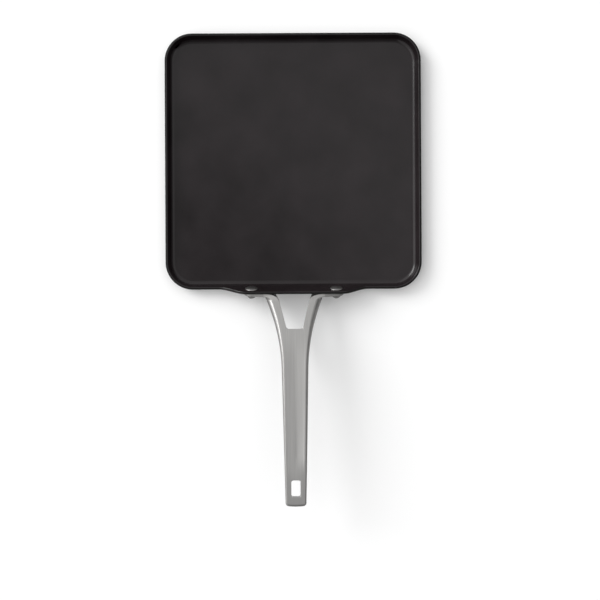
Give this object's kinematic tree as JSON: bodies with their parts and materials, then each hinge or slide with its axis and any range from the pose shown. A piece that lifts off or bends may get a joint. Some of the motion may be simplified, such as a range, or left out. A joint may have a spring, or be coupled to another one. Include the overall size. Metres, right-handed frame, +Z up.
{
  "type": "square griddle pan",
  "caption": "Square griddle pan: a dark smooth tray with low flared walls and a forked brushed steel handle riveted to a raised pad on its wall.",
  "frame": {"origin": "middle of the flat base, on the surface that the pan stands on", "axes": "+Z up out of the tray, -Y along the handle, +X to the right with the handle towards the user"},
  "size_m": [0.28, 0.5085, 0.0661],
  "materials": {
    "dark_coating": "hard-anodised aluminium under a smooth matt charcoal non-stick film",
    "handle_steel": "cast steel, brushed along the grip, with smoother edges",
    "rivet_steel": "satin steel"
  },
  "bodies": {
    "root": {"griddle_body": "dark_coating", "handle": "handle_steel", "rivet_left": "rivet_steel", "rivet_right": "rivet_steel"}
  },
  "joints": []
}
